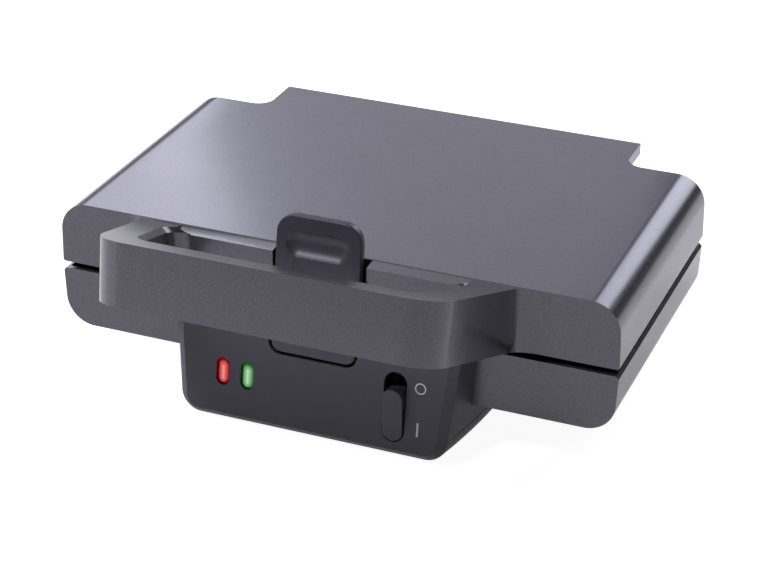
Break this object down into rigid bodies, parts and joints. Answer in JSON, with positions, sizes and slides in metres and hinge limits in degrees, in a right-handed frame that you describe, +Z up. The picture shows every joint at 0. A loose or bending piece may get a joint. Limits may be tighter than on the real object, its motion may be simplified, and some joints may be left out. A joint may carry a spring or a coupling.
{
  "type": "donut maker",
  "caption": "Closed two-plate donut maker with a hinged lid, wide raised handle, centre latch and a front control console.",
  "frame": {"origin": "centre of the overall box, on the surface that the feet stand on", "axes": "+X to the user's right as they face the console, +Y to the back where the hinge is, +Z up"},
  "size_m": [0.29, 0.2636, 0.1169],
  "materials": {
    "shell_paint": "satin metallic grey lacquer over moulded plastic",
    "console_plastic": "fine matte charcoal moulding",
    "latch_plastic": "matte dark grey moulding",
    "switch_plastic": "semi-gloss black moulding",
    "rubber": "matte black rubber",
    "red_lens": "clear red moulded lens",
    "green_lens": "clear green moulded lens",
    "lamp_glass": "clear glow lamp glass",
    "nonstick": "cast aluminium with black non-stick coating",
    "zinc_steel": "zinc plated steel",
    "element_sheath": "dull heat-tinted steel sheath",
    "reflector_sheet": "bright aluminised sheet",
    "bakelite": "brown-black heat proof moulding",
    "white_block": "off-white heat proof moulding",
    "wire_sleeve": "pale silicone wire sleeve"
  },
  "bodies": {
    "base": {"base_shell": "shell_paint", "console_housing": "console_plastic", "bottom_cover": "console_plastic", "bottom_cover_screws": "zinc_steel", "rubber_feet": "rubber", "cord_inlet_bush": "rubber", "lower_plate": "nonstick", "lower_plate_screws": "zinc_steel", "lower_heating_element": "element_sheath", "lower_heat_reflector": "reflector_sheet", "lower_reflector_screws": "zinc_steel", "hinge_pins": "zinc_steel", "red_pilot_lens": "red_lens", "green_pilot_lens": "green_lens", "pilot_lamps": "lamp_glass", "switch_body": "switch_plastic", "latch_pin": "zinc_steel", "latch_spring": "zinc_steel", "thermostat": "bakelite", "base_thermal_fuse": "bakelite", "terminal_block": "white_block", "internal_wiring": "wire_sleeve"},
    "lid": {"lid_shell": "shell_paint", "handle_cover": "console_plastic", "upper_plate": "nonstick", "upper_plate_screws": "zinc_steel", "upper_heating_element": "element_sheath", "upper_heat_reflector": "reflector_sheet", "upper_reflector_screws": "zinc_steel", "lid_hinge_arms": "zinc_steel", "lid_thermal_fuse": "bakelite"},
    "latch": {"latch_lever": "latch_plastic"},
    "rocker_key": {"rocker": "switch_plastic"}
  },
  "joints": [
    {"name": "lid_hinge", "type": "hinge", "parent": "base", "child": "lid", "pos_m": [0, 0.1112, 0.0557], "axis": [-1, 0, 0], "range_deg": [0, 105]},
    {"name": "latch_pivot", "type": "hinge", "parent": "base", "child": "latch", "pos_m": [0, -0.06102, 0.04636], "axis": [1, 0, 0], "range_deg": [-3, 8], "stiffness_Nm_per_rad": 0.2},
    {"name": "power_switch", "type": "hinge", "parent": "base", "child": "rocker_key", "pos_m": [0.0431, -0.06496, 0.02632], "axis": [-1, 0, 0], "range_deg": [0, 16]}
  ]
}
